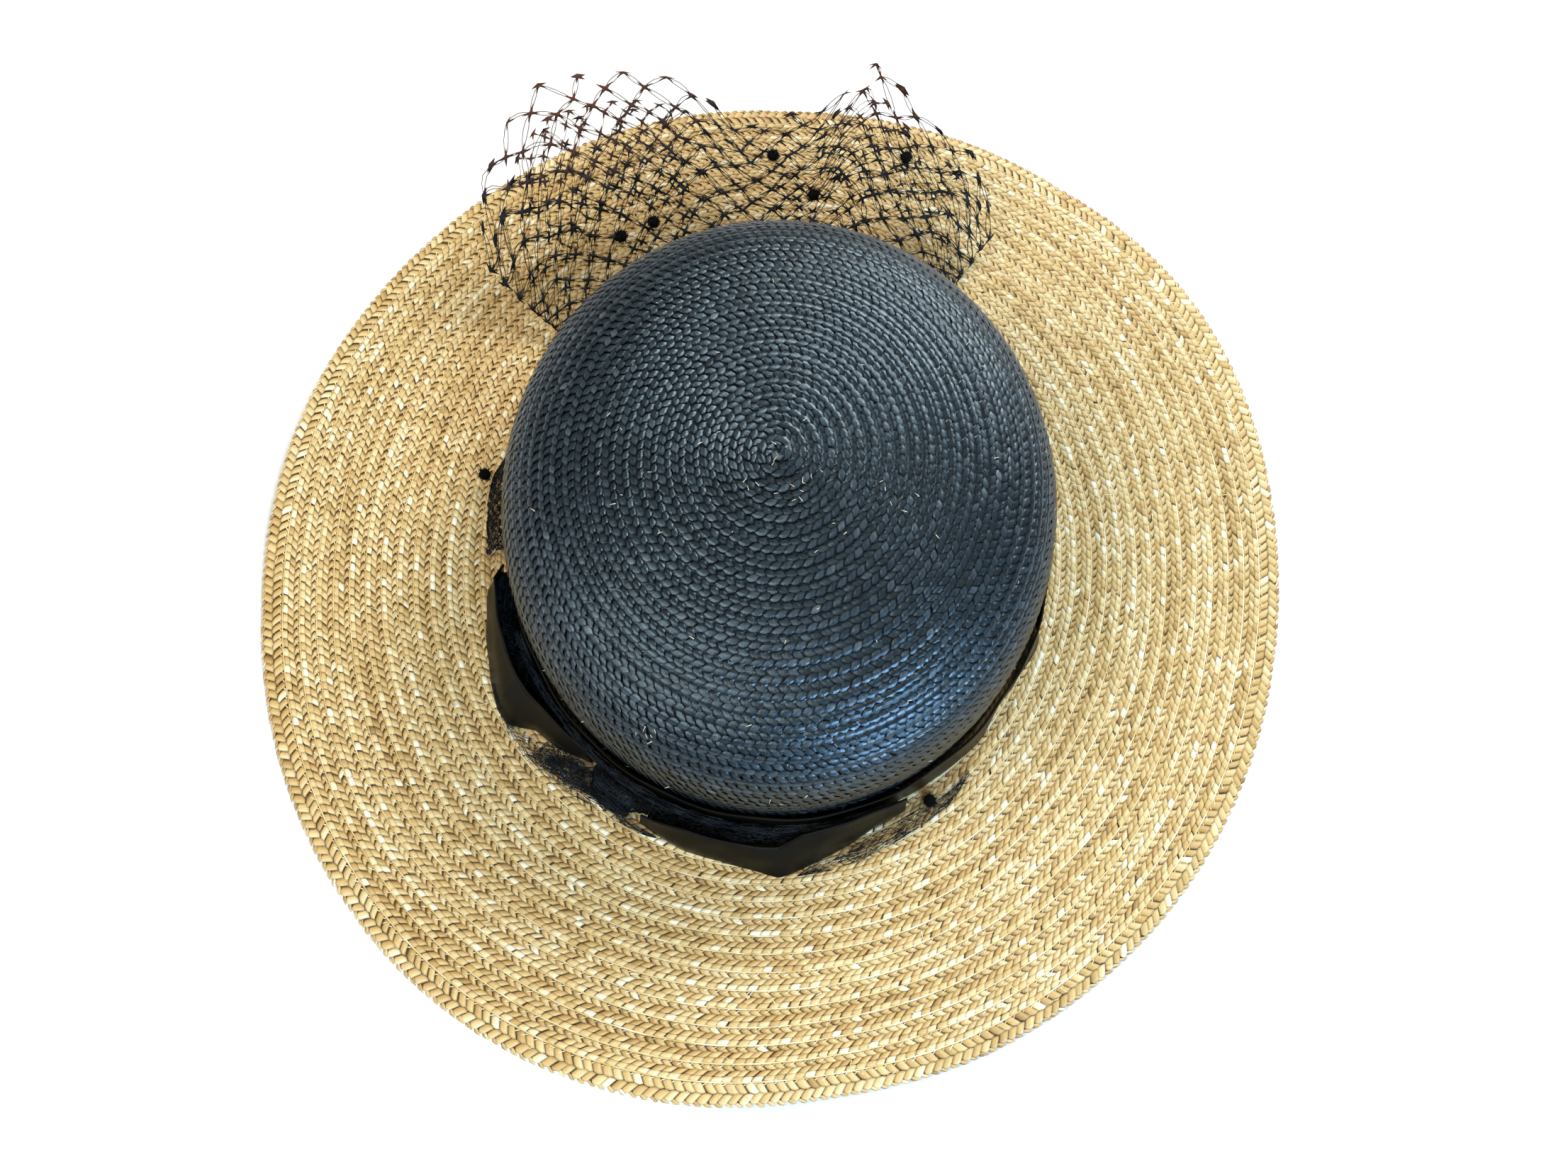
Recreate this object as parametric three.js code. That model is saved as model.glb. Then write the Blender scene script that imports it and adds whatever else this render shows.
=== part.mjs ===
import * as THREE from 'three';

// Wide straw hat with a dark crown, a folded ribbon and a dotted veil.
// Millimetres, +Z up, resting on its brim, the front of the hat towards -Y.

// Brim: an almost round oval sewn from one long braid.
const BRIM_RADIUS = 187;
const BRIM_OVAL = 4.1;
const BRIM_OVAL_TURN = 70;
const BRIM_THICKNESS = 2.2;
const BRIM_RISE = 5;
const BRIM_WAVE = 5;
const BRIM_ROWS = 15;
const BRIM_SEGMENTS = 48;

// Crown: a low oval dome with a flat top, a round shoulder and upright walls.
const CROWN_HALF_WIDTH = 92;
const CROWN_HALF_LENGTH = 102;
const CROWN_HEIGHT = 75;
const CROWN_THICKNESS = 2;
const CROWN_ROWS = 18;
const CROWN_SEGMENTS = 36;
const CROWN_X = 2.8;
const CROWN_Y = 1.1;

// Height by which each braid row laps over the next one.
const ROW_LAP = 0.45;

// Ribbon: a satin band round the crown and two angular folds standing out.
const RIBBON_WIDTH = 19;
const RIBBON_THICKNESS = 1;
const RUFFLE_DEPTH = 4;
const FOLD_DEPTH = 18;

// Veil: how high it stands, its gathers, its coarse net and its dots.
const VEIL_LIFT = 55;
const GATHER_HEIGHT = 7;
const NET_CELL = 19;
const NET_STRAND = 2;
const NET_THICKNESS = 1;
const WRAP_THICKNESS = 1;
const DOT_RADIUS = 2.8;

// Space left between neighbouring pieces.
const GAP = 0.3;

const DEG = Math.PI / 180;

// Crown outline from the middle of the top down to the rim.
// out: share of the half width, drop: share of the crown height.
const CROWN_SECTIONS = [
  { out: 0.000, drop: 0.000 },
  { out: 0.250, drop: 0.007 },
  { out: 0.440, drop: 0.025 },
  { out: 0.580, drop: 0.047 },
  { out: 0.680, drop: 0.073 },
  { out: 0.770, drop: 0.108 },
  { out: 0.850, drop: 0.160 },
  { out: 0.915, drop: 0.228 },
  { out: 0.965, drop: 0.320 },
  { out: 0.992, drop: 0.440 },
  { out: 1.000, drop: 0.580 },
  { out: 1.000, drop: 0.800 },
  { out: 1.004, drop: 1.000 },
];

// Ribbon band. turn: degrees from +X. The rest are shares of the ruffle depth:
// out: how far the lower edge stands off, lean: how far the top leans back;
// high: share of the ribbon width.
const BAND_SECTIONS = [
  { turn: 0, out: 0.35, lean: 0.20, high: 0.98 },
  { turn: 14, out: 0.65, lean: 0.40, high: 1.02 },
  { turn: 28, out: 0.10, lean: 0.10, high: 0.96 },
  { turn: 60, out: 0.00, lean: 0.00, high: 1.00 },
  { turn: 100, out: 0.00, lean: 0.00, high: 0.97 },
  { turn: 140, out: 0.00, lean: 0.00, high: 1.00 },
  { turn: 170, out: 0.10, lean: 0.08, high: 0.98 },
  { turn: 200, out: 0.05, lean: 0.05, high: 0.96 },
  { turn: 240, out: 0.05, lean: 0.05, high: 0.98 },
  { turn: 280, out: 0.10, lean: 0.08, high: 1.00 },
  { turn: 300, out: 0.25, lean: 0.20, high: 1.04 },
  { turn: 313, out: 0.60, lean: 0.45, high: 0.98 },
  { turn: 320, out: 0.15, lean: 0.10, high: 1.05 },
  { turn: 327, out: 0.50, lean: 0.40, high: 0.97 },
  { turn: 336, out: 1.00, lean: 0.75, high: 1.06 },
  { turn: 343, out: 0.20, lean: 0.15, high: 0.99 },
  { turn: 351, out: 0.05, lean: 0.05, high: 1.06 },
  { turn: 360, out: 0.35, lean: 0.20, high: 0.98 },
];

// Fold of the ribbon on the left side.
// foot and head: how far its lower and upper edges stand out from the band,
// as shares of the fold depth; high: share of the ribbon width.
const FOLD_LEFT_SECTIONS = [
  { turn: 189, foot: 0.12, head: 0.08, high: 0.72 },
  { turn: 192, foot: 0.56, head: 0.23, high: 0.86 },
  { turn: 198, foot: 0.70, head: 0.27, high: 0.95 },
  { turn: 206, foot: 0.86, head: 0.31, high: 1.02 },
  { turn: 213, foot: 1.02, head: 0.33, high: 1.04 },
  { turn: 216, foot: 0.98, head: 0.30, high: 0.98 },
  { turn: 220, foot: 0.59, head: 0.22, high: 0.86 },
  { turn: 226, foot: 0.41, head: 0.15, high: 0.74 },
  { turn: 232, foot: 0.16, head: 0.09, high: 0.60 },
];

// Fold of the ribbon at the front, with a point near its middle.
const FOLD_FRONT_SECTIONS = [
  { turn: 246, foot: 0.50, head: 0.42, high: 0.66 },
  { turn: 250, foot: 0.56, head: 0.40, high: 0.80 },
  { turn: 254, foot: 0.63, head: 0.36, high: 0.84 },
  { turn: 260, foot: 0.62, head: 0.34, high: 0.74 },
  { turn: 266, foot: 0.71, head: 0.36, high: 0.66 },
  { turn: 270, foot: 0.81, head: 0.34, high: 0.62 },
  { turn: 274, foot: 0.66, head: 0.18, high: 0.90 },
  { turn: 280, foot: 0.44, head: 0.12, high: 1.02 },
  { turn: 287, foot: 0.22, head: 0.08, high: 1.08 },
  { turn: 293, foot: 0.15, head: 0.08, high: 1.06 },
];

// Gathered net beside the band on the left side, and within the front fold.
// out: distance of its outer edge from the band as a share of the fold depth,
// hump: height of the gathered middle as a share of the gather height.
const WRAP_LEFT_SECTIONS = [
  { turn: 158, out: 0.41, hump: 0.70 },
  { turn: 168, out: 0.65, hump: 0.90 },
  { turn: 184, out: 0.55, hump: 0.85 },
];
const WRAP_FRONT_SECTIONS = [
  { turn: 233.5, out: 0.30, hump: 0.60 },
  { turn: 236, out: 0.58, hump: 0.90 },
  { turn: 241, out: 0.50, hump: 1.00 },
  { turn: 246, out: 0.30, hump: 0.80 },
  { turn: 254, out: 0.26, hump: 0.80 },
  { turn: 262, out: 0.26, hump: 0.70 },
  { turn: 268, out: 0.20, hump: 0.50 },
];

// Veil standing up at the back, from its right end to its left end.
// out: distance of the free edge from the crown's middle as a share of the
// brim radius, lift: height of the free edge as a share of the veil lift.
const VEIL_SECTIONS = [
  { turn: 56, out: 0.800, lift: 0.15 },
  { turn: 64, out: 0.900, lift: 0.40 },
  { turn: 72, out: 0.870, lift: 0.80 },
  { turn: 79, out: 0.920, lift: 0.95 },
  { turn: 86, out: 0.845, lift: 0.62 },
  { turn: 94, out: 0.855, lift: 0.47 },
  { turn: 103, out: 0.910, lift: 0.76 },
  { turn: 113, out: 0.930, lift: 0.98 },
  { turn: 122, out: 0.925, lift: 1.00 },
  { turn: 130, out: 0.900, lift: 0.76 },
  { turn: 137, out: 0.810, lift: 0.29 },
];

// Chenille dots of the veil. across and along: shares of the piece they are on,
// but across is a turn in degrees on the brim.
const DOTS = [
  { part: 'veil', across: 0.14, along: 0.80 },
  { part: 'veil', across: 0.33, along: 0.50 },
  { part: 'veil', across: 0.42, along: 0.75 },
  { part: 'veil', across: 0.69, along: 0.38 },
  { part: 'veil', across: 0.77, along: 0.38 },
  { part: 'wrap', across: 0.38, along: 0.86 },
  { part: 'brim', across: 298, along: 0.09 },
];

// Piecewise lookup in a table by one column.
function look(rows, key, at, column, smooth) {
  if (at <= rows[0][key]) return rows[0][column];
  const last = rows[rows.length - 1];
  if (at >= last[key]) return last[column];
  let i = 0;
  while (rows[i + 1][key] < at) i += 1;
  const a = rows[i];
  const b = rows[i + 1];
  let t = (at - a[key]) / (b[key] - a[key]);
  if (smooth) t = t * t * (3 - 2 * t);
  return a[column] + (b[column] - a[column]) * t;
}

// Merge vertices that share a place and drop empty triangles.
function weld(geometry) {
  const source = geometry.index ? geometry.toNonIndexed() : geometry;
  const pos = source.attributes.position;
  const seen = new Map();
  const points = [];
  const index = [];
  const ids = [];
  for (let i = 0; i < pos.count; i += 1) {
    const k = [pos.getX(i), pos.getY(i), pos.getZ(i)].map((c) => Math.round(c * 2e4)).join(' ');
    if (!seen.has(k)) {
      seen.set(k, points.length / 3);
      points.push(pos.getX(i), pos.getY(i), pos.getZ(i));
    }
    ids.push(seen.get(k));
  }
  for (let i = 0; i < ids.length; i += 3) {
    const [a, b, c] = [ids[i], ids[i + 1], ids[i + 2]];
    if (a !== b && b !== c && c !== a) index.push(a, b, c);
  }
  return build(points, index);
}

// Indexed geometry that faces outwards.
function build(points, index) {
  let volume = 0;
  const at = (i) => new THREE.Vector3(points[3 * i], points[3 * i + 1], points[3 * i + 2]);
  for (let i = 0; i < index.length; i += 3) {
    volume += at(index[i]).dot(at(index[i + 1]).cross(at(index[i + 2])));
  }
  const out = new THREE.BufferGeometry();
  out.setAttribute('position', new THREE.Float32BufferAttribute(points, 3));
  const order = index.slice();
  if (volume < 0) {
    for (let i = 0; i < order.length; i += 3) [order[i], order[i + 1]] = [order[i + 1], order[i]];
  }
  out.setIndex(order);
  out.computeVertexNormals();
  return out;
}

// Crown wall distance from the crown's middle at a turn in radians.
function crownReach(turn) {
  const x = Math.cos(turn) / CROWN_HALF_WIDTH;
  const y = Math.sin(turn) / CROWN_HALF_LENGTH;
  return 1.004 / Math.hypot(x, y);
}

// Inner edge of the brim, just inside the crown wall, from the hat's middle.
function brimHole(turn) {
  const wall = crownReach(turn) - CROWN_THICKNESS;
  return wall + CROWN_X * Math.cos(turn) + CROWN_Y * Math.sin(turn);
}

// Outer edge of the brim as a distance from the middle of the hat.
function brimReach(turn) {
  const oval = BRIM_OVAL * Math.cos(2 * (turn - BRIM_OVAL_TURN * DEG));
  const end = Math.exp(-(((turn / DEG + 360) % 360 - 276) ** 2) / 90);
  return BRIM_RADIUS + oval + 0.6 * Math.sin(4 * turn - 1.9) - 1.2 * end;
}

// Height of the underside of the brim; along runs from crown to edge.
function brimUnder(turn, along) {
  const wave = 0.35 + 0.62 * Math.sin(3 * turn + 0.7) + 0.45 * Math.sin(5 * turn - 1.1);
  const rise = BRIM_RISE * Math.max(0, 1 - along / 0.82) ** 1.3;
  return rise + BRIM_WAVE * Math.max(0, wave) * along * along;
}

// Point over the brim: turn in radians, distance from the crown wall.
function overBrim(turn, away, height) {
  const r = crownReach(turn) + away;
  const x = CROWN_X + r * Math.cos(turn);
  const y = CROWN_Y + r * Math.sin(turn);
  const around = Math.atan2(y, x);
  const inner = brimHole(around);
  const along = (Math.hypot(x, y) - inner) / (brimReach(around) - inner);
  const floor = brimUnder(around, Math.max(0, along)) + BRIM_THICKNESS + GAP / 2;
  return new THREE.Vector3(x, y, floor + height);
}

// A thin solid from a surface: across and along run from 0 to 1.
function sheet(surface, across, along, thickness, closed) {
  const plane = new THREE.PlaneGeometry(1, 1, across, along);
  const pos = plane.attributes.position;
  const step = 1e-3;
  const points = [];
  const place = [];
  for (let i = 0; i < pos.count; i += 1) place.push([pos.getX(i) + 0.5, pos.getY(i) + 0.5]);
  const wrap = (u) => (closed ? (u + 1) % 1 : Math.min(1, Math.max(0, u)));
  for (const side of [0.5, -0.5]) {
    for (const [u, v] of place) {
      const p = surface(closed ? u % 1 : u, v);
      const du = surface(wrap(u + step), v).sub(surface(wrap(u - step), v));
      const dv = surface(wrap(u), Math.min(1, v + step)).sub(surface(wrap(u), Math.max(0, v - step)));
      const n = du.cross(dv).normalize().multiplyScalar(side * thickness);
      points.push(p.x + n.x, p.y + n.y, p.z + n.z);
    }
  }
  const n = pos.count;
  const index = [];
  const face = plane.index.array;
  for (let i = 0; i < face.length; i += 3) {
    index.push(face[i], face[i + 1], face[i + 2]);
    index.push(n + face[i], n + face[i + 2], n + face[i + 1]);
  }
  const edge = (a, b) => index.push(a, b, n + a, b, n + b, n + a);
  const w = across + 1;
  for (let i = 0; i < across; i += 1) {
    edge(i, i + 1);
    edge(along * w + i + 1, along * w + i);
  }
  if (!closed) {
    for (let j = 0; j < along; j += 1) {
      edge((j + 1) * w, j * w);
      edge(j * w + across, (j + 1) * w + across);
    }
  }
  const soup = new THREE.BufferGeometry();
  soup.setAttribute('position', new THREE.Float32BufferAttribute(points, 3));
  soup.setIndex(index);
  return weld(soup);
}

// A net of four-sided gaps cut through a thin sheet, with a zigzag edge.
function net(surface, columns, rows, strand, thickness) {
  const step = 1e-3;
  const normal = (u, v) => {
    const u0 = Math.max(0, u - step);
    const u1 = Math.min(1, u + step);
    const v0 = Math.max(0, v - step);
    const v1 = Math.min(1, v + step);
    const du = surface(u1, v).sub(surface(u0, v));
    return du.cross(surface(u, v1).sub(surface(u, v0))).normalize();
  };
  const points = [];
  const index = [];
  const spot = (i, j, side) => {
    const u = i / (2 * columns);
    const v = j / (2 * rows);
    const shift = normal(u, v).multiplyScalar(side * thickness * 0.5);
    return surface(u, v).add(shift);
  };
  const quad = (a, b, c, d) => {
    for (const p of [a, b, c, a, c, d]) {
      index.push(points.length / 3);
      points.push(p.x, p.y, p.z);
    }
  };
  const used = new Set();
  for (let i = 1; i < 2 * columns; i += 1) {
    for (let j = 1; j < 2 * rows; j += 1) {
      if ((i + j) % 2 === 0) used.add(`${i} ${j}`);
    }
  }
  const round = [[1, 0], [0, 1], [-1, 0], [0, -1]];
  const beside = [[1, 1], [-1, 1], [-1, -1], [1, -1]];
  for (const name of used) {
    const [i, j] = name.split(' ').map(Number);
    const rim = {};
    const hole = {};
    for (const side of [1, -1]) {
      rim[side] = round.map(([a, b]) => spot(i + a, j + b, side));
      const centre = rim[side].reduce((s, p) => s.add(p), new THREE.Vector3()).divideScalar(4);
      hole[side] = rim[side].map((p) => {
        const arm = centre.clone().sub(p);
        const keep = Math.min(0.42, (strand * 0.9) / arm.length());
        return p.clone().addScaledVector(arm, keep);
      });
    }
    for (let k = 0; k < 4; k += 1) {
      const m = (k + 1) % 4;
      quad(rim[1][k], rim[1][m], hole[1][m], hole[1][k]);
      quad(rim[-1][m], rim[-1][k], hole[-1][k], hole[-1][m]);
      quad(hole[1][k], hole[1][m], hole[-1][m], hole[-1][k]);
      const [a, b] = beside[k];
      if (!used.has(`${i + a} ${j + b}`)) quad(rim[1][m], rim[1][k], rim[-1][k], rim[-1][m]);
    }
  }
  const soup = new THREE.BufferGeometry();
  soup.setAttribute('position', new THREE.Float32BufferAttribute(points, 3));
  soup.setIndex(index);
  return weld(soup);
}

// Brim: a closed lathe profile in shares, laid out round the crown.
function makeBrim() {
  const ROW_CODE = 10;
  const profile = [];
  const inner = 0.001;
  for (let i = 0; i < BRIM_ROWS; i += 1) {
    const a = i / BRIM_ROWS;
    const b = (i + 1) / BRIM_ROWS;
    profile.push(new THREE.Vector2(1 + inner + a + (i ? 0.006 : 0), ROW_CODE));
    profile.push(new THREE.Vector2(1 + inner + b, ROW_CODE + ROW_LAP));
  }
  for (const s of [1.0, 0.84, 0.66, 0.42, 0.2, 0.0]) profile.push(new THREE.Vector2(1 + inner + s, 0));
  profile.push(profile[0].clone());
  const lathe = new THREE.LatheGeometry(profile, BRIM_SEGMENTS);
  const pos = lathe.attributes.position;
  for (let i = 0; i < pos.count; i += 1) {
    const turn = Math.atan2(pos.getZ(i), pos.getX(i));
    const share = Math.hypot(pos.getX(i), pos.getZ(i)) - 1 - inner;
    const level = pos.getY(i);
    const edgeX = brimReach(turn) * Math.cos(turn);
    const edgeY = brimReach(turn) * Math.sin(turn);
    const wall = crownReach(turn) - CROWN_THICKNESS;
    const x = (CROWN_X + wall * Math.cos(turn)) * (1 - share) + edgeX * share;
    const y = (CROWN_Y + wall * Math.sin(turn)) * (1 - share) + edgeY * share;
    const along = Math.max(0, Math.min(1, share));
    const up = level > 5 ? BRIM_THICKNESS + level - ROW_CODE - ROW_LAP : 0;
    pos.setXYZ(i, x, y, brimUnder(turn, along) + up);
  }
  return weld(lathe);
}

// Smooth crown outline: distance from the axis as a share, height above the rim.
function crownCurve() {
  return new THREE.CatmullRomCurve3(
    CROWN_SECTIONS.map((s) => new THREE.Vector3(s.out * CROWN_HALF_LENGTH, 0, (1 - s.drop) * CROWN_HEIGHT)),
    false,
    'centripetal',
  );
}

// Crown: rows lap over each other from the top down, plain inside.
function makeCrown() {
  const curve = crownCurve();
  const frame = (s) => {
    const p = curve.getPointAt(s);
    const t = curve.getTangentAt(s);
    return { p, n: new THREE.Vector3(t.z, 0, -t.x).negate() };
  };
  const profile = [new THREE.Vector2(0, CROWN_HEIGHT)];
  for (let i = 0; i < CROWN_ROWS; i += 1) {
    const a = frame((i + 0.04) / CROWN_ROWS);
    const b = frame((i + 1) / CROWN_ROWS);
    if (i) profile.push(new THREE.Vector2(a.p.x - ROW_LAP * a.n.x, a.p.z - ROW_LAP * a.n.z));
    profile.push(new THREE.Vector2(b.p.x, b.p.z));
  }
  for (let i = 12; i > 0; i -= 1) {
    const c = frame(i / 12);
    profile.push(new THREE.Vector2(c.p.x - CROWN_THICKNESS * c.n.x, c.p.z - CROWN_THICKNESS * c.n.z));
  }
  profile.push(new THREE.Vector2(0, CROWN_HEIGHT - CROWN_THICKNESS));
  const lathe = new THREE.LatheGeometry(profile, CROWN_SEGMENTS);
  const pos = lathe.attributes.position;
  const foot = BRIM_RISE + BRIM_THICKNESS - ROW_LAP + GAP;
  for (let i = 0; i < pos.count; i += 1) {
    const turn = Math.atan2(pos.getZ(i), pos.getX(i));
    const r = Math.hypot(pos.getX(i), pos.getZ(i));
    const oval = crownReach(turn) / (1.004 * CROWN_HALF_LENGTH);
    const high = Math.max(0, pos.getY(i)) / CROWN_HEIGHT;
    const dent = 1 + 0.006 * Math.sin(3 * turn + 0.4) * high * (r / CROWN_HALF_LENGTH);
    const x = CROWN_X + r * oval * dent * Math.cos(turn);
    const y = CROWN_Y + r * oval * dent * Math.sin(turn);
    pos.setXYZ(i, x, y, foot + Math.max(0, pos.getY(i)));
  }
  return weld(lathe);
}

// Distance of the band's middle surface from the crown wall.
function bandOut(deg) {
  const ruffle = look(BAND_SECTIONS, 'turn', deg, 'out', true) * RUFFLE_DEPTH;
  return RIBBON_THICKNESS / 2 + 2 * GAP + ruffle;
}

function bandAt(u, v) {
  const deg = (u * 360) % 360;
  const lean = look(BAND_SECTIONS, 'turn', deg, 'lean', true) * RUFFLE_DEPTH;
  const high = look(BAND_SECTIONS, 'turn', deg, 'high', true) * RIBBON_WIDTH;
  return overBrim(deg * DEG, bandOut(deg) - lean * v, high * v);
}

// Nearest place that a piece of this thickness may take beside the band.
function besideBand(deg, thickness) {
  return bandOut(deg) + (RIBBON_THICKNESS + thickness) / 2 + GAP;
}

function foldAt(rows) {
  return (u, v) => {
    const deg = rows[0].turn + u * (rows[rows.length - 1].turn - rows[0].turn);
    const start = besideBand(deg, RIBBON_THICKNESS);
    const foot = start + look(rows, 'turn', deg, 'foot', false) * FOLD_DEPTH;
    const head = start + look(rows, 'turn', deg, 'head', false) * FOLD_DEPTH;
    const high = look(rows, 'turn', deg, 'high', false) * RIBBON_WIDTH;
    const belly = 0.9 * Math.sin(Math.PI * v);
    return overBrim(deg * DEG, foot + (head - foot) * v + belly, GAP + high * v);
  };
}

function wrapAt(rows) {
  return (u, v) => {
    const deg = rows[0].turn + u * (rows[rows.length - 1].turn - rows[0].turn);
    const inner = besideBand(deg, WRAP_THICKNESS) + GAP;
    const outer = inner + look(rows, 'turn', deg, 'out', true) * FOLD_DEPTH;
    const hump = look(rows, 'turn', deg, 'hump', true) * GATHER_HEIGHT;
    const ruffle = 0.13 * hump * Math.sin(deg * 1.1);
    const high = WRAP_THICKNESS / 3 + (hump + ruffle) * Math.sin(Math.PI * v);
    return overBrim(deg * DEG, inner + (outer - inner) * v, high);
  };
}

function veilAt(u, v) {
  const first = VEIL_SECTIONS[0].turn;
  const last = VEIL_SECTIONS[VEIL_SECTIONS.length - 1].turn;
  const deg = first + u * (last - first);
  const start = besideBand(deg, NET_THICKNESS) + 2 * GAP;
  const far = look(VEIL_SECTIONS, 'turn', deg, 'out', true) * BRIM_RADIUS - crownReach(deg * DEG);
  const lift = look(VEIL_SECTIONS, 'turn', deg, 'lift', true) * VEIL_LIFT;
  const narrow = 3 * (u - 0.5) * (1 - v);
  const puff = 0.09 * VEIL_LIFT * Math.sin(Math.PI * v) * Math.sin(Math.PI * u);
  const ruffle = 0.044 * VEIL_LIFT * Math.sin(u * 34) * v * v;
  const rise = lift * v ** 1.35 + puff + ruffle;
  const high = NET_THICKNESS / 2 + Math.max(0, rise);
  return overBrim((deg - narrow) * DEG, start + (far - start) * v, high);
}

function dotAt(dot) {
  if (dot.part === 'brim') {
    const turn = dot.across * DEG;
    return overBrim(turn, dot.along * (brimReach(turn) - crownReach(turn)), DOT_RADIUS);
  }
  const surface = dot.part === 'wrap' ? wrapAt(WRAP_LEFT_SECTIONS) : veilAt;
  let u = dot.across;
  let v = dot.along;
  if (dot.part === 'veil') {
    const [columns, rows] = netCount();
    let i = Math.round(u * 2 * columns);
    const j = Math.round(v * 2 * rows);
    if ((i + j) % 2 === 0) i += 1;
    u = i / (2 * columns);
    v = j / (2 * rows);
  }
  const s = 1e-3;
  const du = surface(u + s, v).sub(surface(u - s, v));
  const n = du.cross(surface(u, v + s).sub(surface(u, v - s))).normalize();
  if (n.z < 0) n.negate();
  const half = dot.part === 'wrap' ? WRAP_THICKNESS : NET_THICKNESS;
  return surface(u, v).addScaledVector(n, DOT_RADIUS + half / 2 + 2 * GAP);
}

// Number of net cells across and along from the size of the veil.
function netCount() {
  let wide = 0;
  let deep = 0;
  for (let i = 0; i < 40; i += 1) {
    wide += veilAt((i + 1) / 40, 0.7).distanceTo(veilAt(i / 40, 0.7));
    deep += veilAt(0.3, (i + 1) / 40).distanceTo(veilAt(0.3, i / 40));
  }
  return [Math.round(wide / NET_CELL), Math.round(deep / (NET_CELL * 1.15))];
}

function dotGeometry(centre) {
  const ball = new THREE.IcosahedronGeometry(DOT_RADIUS, 1);
  ball.translate(centre.x, centre.y, centre.z);
  return weld(ball);
}

const COLORS = {
  straw_natural: 0xd9bd82,
  straw_dark: 0x23272f,
  ribbon_satin: 0x141518,
  veil_net: 0x17130f,
  veil_dot: 0x0c0b0b,
};

function mesh(name, geometry, slot) {
  const rough = slot === 'ribbon_satin' ? 0.45 : 0.75;
  const material = new THREE.MeshStandardMaterial({
    name: slot, color: COLORS[slot], roughness: rough, metalness: 0,
  });
  const out = new THREE.Mesh(geometry, material);
  out.name = name;
  return out;
}

const hat = new THREE.Group();
hat.name = 'straw_hat';

function add(name, geometry, slot) {
  hat.add(mesh(name, geometry, slot));
}

const [netColumns, netRows] = netCount();
add('brim', makeBrim(), 'straw_natural');
add('crown', makeCrown(), 'straw_dark');
add('ribbon_band', sheet(bandAt, 72, 2, RIBBON_THICKNESS, true), 'ribbon_satin');
add('ribbon_fold_left', sheet(foldAt(FOLD_LEFT_SECTIONS), 24, 3, RIBBON_THICKNESS), 'ribbon_satin');
add('ribbon_fold_front', sheet(foldAt(FOLD_FRONT_SECTIONS), 26, 3, RIBBON_THICKNESS), 'ribbon_satin');
add('veil_wrap_left', sheet(wrapAt(WRAP_LEFT_SECTIONS), 10, 4, WRAP_THICKNESS), 'veil_net');
add('veil_wrap_front', sheet(wrapAt(WRAP_FRONT_SECTIONS), 22, 4, WRAP_THICKNESS), 'veil_net');
add('veil_pouf', net(veilAt, netColumns, netRows, NET_STRAND, NET_THICKNESS), 'veil_net');
DOTS.forEach((dot, i) => add(`veil_dot_${i + 1}`, dotGeometry(dotAt(dot)), 'veil_dot'));

// The middle of the whole hat's footprint is the origin.
const footprint = new THREE.Box3().setFromObject(hat);
const middle = footprint.getCenter(new THREE.Vector3());
hat.children.forEach((piece) => piece.geometry.translate(-middle.x, -middle.y, -footprint.min.z));

export default hat;
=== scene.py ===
import math

import bpy
import numpy as np
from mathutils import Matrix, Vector


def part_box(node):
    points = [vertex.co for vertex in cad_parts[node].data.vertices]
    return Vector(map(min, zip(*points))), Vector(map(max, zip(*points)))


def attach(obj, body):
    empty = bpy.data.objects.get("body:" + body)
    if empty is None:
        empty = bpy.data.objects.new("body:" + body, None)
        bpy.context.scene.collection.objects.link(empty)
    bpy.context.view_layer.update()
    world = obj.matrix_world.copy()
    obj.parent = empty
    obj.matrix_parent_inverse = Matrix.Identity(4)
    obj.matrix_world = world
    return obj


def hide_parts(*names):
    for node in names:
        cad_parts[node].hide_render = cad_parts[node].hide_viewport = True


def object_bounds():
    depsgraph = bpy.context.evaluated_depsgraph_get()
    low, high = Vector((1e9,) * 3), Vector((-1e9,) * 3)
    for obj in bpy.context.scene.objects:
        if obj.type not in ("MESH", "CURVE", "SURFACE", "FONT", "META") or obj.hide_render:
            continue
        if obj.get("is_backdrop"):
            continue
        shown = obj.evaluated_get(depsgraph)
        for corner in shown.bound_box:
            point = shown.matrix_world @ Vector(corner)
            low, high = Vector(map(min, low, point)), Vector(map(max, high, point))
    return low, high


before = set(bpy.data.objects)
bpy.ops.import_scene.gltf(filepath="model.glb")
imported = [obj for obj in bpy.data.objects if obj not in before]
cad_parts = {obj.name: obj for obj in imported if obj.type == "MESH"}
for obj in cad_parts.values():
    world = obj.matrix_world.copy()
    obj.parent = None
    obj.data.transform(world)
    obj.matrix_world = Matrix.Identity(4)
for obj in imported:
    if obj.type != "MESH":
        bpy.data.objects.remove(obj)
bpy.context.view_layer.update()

MM = 0.001
TAU = 2 * math.pi
UP = np.array([0, 0, 1.0])
SEED = 7904
chance = np.random.default_rng(SEED)

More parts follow.
